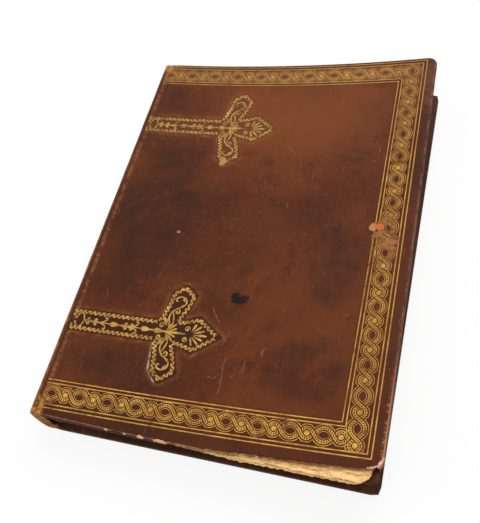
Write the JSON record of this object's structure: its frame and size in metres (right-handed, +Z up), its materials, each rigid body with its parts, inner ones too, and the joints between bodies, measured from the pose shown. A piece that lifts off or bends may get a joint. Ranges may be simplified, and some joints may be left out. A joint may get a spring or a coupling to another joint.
{
  "type": "antique sketchbook",
  "caption": "Leather-bound antique sketchbook lying shut, front cover warped and torn at the tail, with hinged covers, pressed straps and a gilt border.",
  "frame": {"origin": "on the table under the middle of the covers, in the plane of the back cover's outer face", "axes": "+X from the spine to the fore-edge, +Y from tail to head, +Z up through the thickness"},
  "size_m": [0.1918, 0.2703, 0.0369],
  "materials": {
    "pages": "aged rag paper, rough edges",
    "lining": "mull and paper under glue",
    "headbands": "wound thread",
    "leather": "aged brown leather, rubbed, with gilt tooling",
    "board": "pulp board, frayed where bare",
    "endpaper": "aged plain endpaper"
  },
  "bodies": {
    "back_cover": {"back_board": "board", "back_leather": "leather", "back_pastedown": "endpaper"},
    "page_block": {"text_block": "pages", "spine_lining": "lining", "headband_head": "headbands", "headband_tail": "headbands", "spine_leather": "leather"},
    "front_cover": {"front_board": "board", "front_leather": "leather", "front_pastedown": "endpaper"}
  },
  "joints": [
    {"name": "back_joint", "type": "hinge", "parent": "back_cover", "child": "page_block", "pos_m": [-0.0894, 0, 0], "axis": [0, -1, 0], "range_deg": [0, 100]},
    {"name": "front_joint", "type": "hinge", "parent": "page_block", "child": "front_cover", "pos_m": [-0.0894, 0, 0.02651], "axis": [0, -1, 0], "range_deg": [0, 180]}
  ]
}
